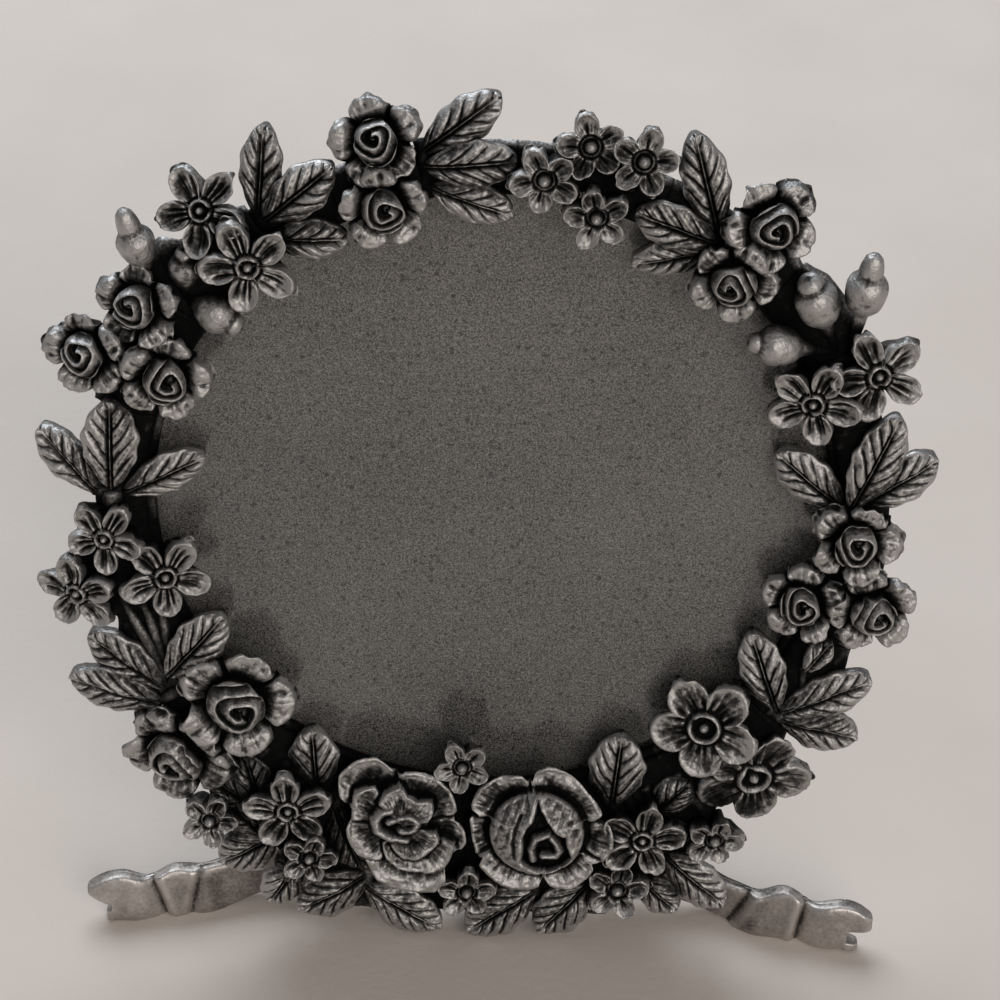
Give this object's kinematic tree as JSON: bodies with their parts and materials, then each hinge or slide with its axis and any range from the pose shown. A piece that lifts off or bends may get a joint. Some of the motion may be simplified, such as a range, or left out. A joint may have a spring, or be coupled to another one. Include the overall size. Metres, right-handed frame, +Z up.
{
  "type": "picture frame",
  "caption": "Small round standing picture frame: a cast pewter wreath of roses, blossoms, leaves and berries on ribbon feet, with glass, backing board, turn buttons and an easel leg.",
  "frame": {"origin": "middle of the footprint at table height", "axes": "+Z up, -Y out of the front of the frame towards the viewer, +X to the viewer's right"},
  "size_m": [0.0992, 0.0376, 0.1074],
  "materials": {
    "antique_pewter": "cast pewter with dark antiquing in the hollows and worn bright edges",
    "satin_pewter": "smooth satin cast pewter",
    "clear_glass": "clear, polished",
    "speckled_card": "matte grey-brown card with fine dark specks",
    "black_board": "hardboard covered in black flocked paper",
    "steel": "plated, lightly brushed",
    "brass": "polished, slightly dulled"
  },
  "bodies": {
    "frame": {"wreath_ring": "antique_pewter", "sprig_roses_top": "antique_pewter", "sprig_leaves_top": "antique_pewter", "sprig_blossoms_top": "antique_pewter", "sprig_leaves_upper_right": "antique_pewter", "sprig_roses_upper_right": "antique_pewter", "sprig_berries_right": "antique_pewter", "sprig_blossoms_right": "antique_pewter", "sprig_leaves_right": "antique_pewter", "sprig_roses_right": "antique_pewter", "sprig_leaves_lower_right": "antique_pewter", "sprig_primroses": "antique_pewter", "sprig_bouquet_right": "antique_pewter", "sprig_bouquet_roses": "antique_pewter", "sprig_bouquet_left": "antique_pewter", "sprig_roses_lower_left": "antique_pewter", "sprig_leaves_lower_left": "antique_pewter", "sprig_blossoms_left": "antique_pewter", "sprig_leaves_left": "antique_pewter", "sprig_roses_left": "antique_pewter", "sprig_berries_left": "antique_pewter", "sprig_blossoms_upper_left": "antique_pewter", "sprig_leaves_upper_left": "antique_pewter", "ribbon_foot_left": "satin_pewter", "ribbon_foot_right": "satin_pewter", "glass": "clear_glass", "picture_insert": "speckled_card", "backing_board": "black_board", "hinge_leaf_fixed": "steel", "hinge_pin": "steel", "hinge_rivet_left": "brass", "hinge_rivet_right": "brass", "turn_button_screw_1": "brass", "turn_button_screw_2": "brass", "turn_button_screw_3": "brass", "turn_button_screw_4": "brass"},
    "easel": {"easel_leg": "black_board", "hinge_leaf_moving": "steel", "leg_rivet_left": "brass", "leg_rivet_right": "brass"},
    "button_1": {"turn_button_1": "steel"},
    "button_2": {"turn_button_2": "steel"},
    "button_3": {"turn_button_3": "steel"},
    "button_4": {"turn_button_4": "steel"}
  },
  "joints": [
    {"name": "easel_fold", "type": "hinge", "parent": "frame", "child": "easel", "pos_m": [0.00118, 0.00479, 0.07129], "axis": [-1, 0, 0], "range_deg": [0, 19.5]},
    {"name": "turn_button_1_turn", "type": "hinge", "parent": "frame", "child": "button_1", "pos_m": [0.02961, 0.00621, 0.08569], "axis": [0, -0.9848, 0.1736], "continuous": true},
    {"name": "turn_button_2_turn", "type": "hinge", "parent": "frame", "child": "button_2", "pos_m": [0.02961, -0.00366, 0.0297], "axis": [0, -0.9848, 0.1736], "continuous": true},
    {"name": "turn_button_3_turn", "type": "hinge", "parent": "frame", "child": "button_3", "pos_m": [-0.02724, -0.00366, 0.0297], "axis": [0, -0.9848, 0.1736], "continuous": true},
    {"name": "turn_button_4_turn", "type": "hinge", "parent": "frame", "child": "button_4", "pos_m": [-0.02724, 0.00621, 0.08569], "axis": [0, -0.9848, 0.1736], "continuous": true}
  ]
}
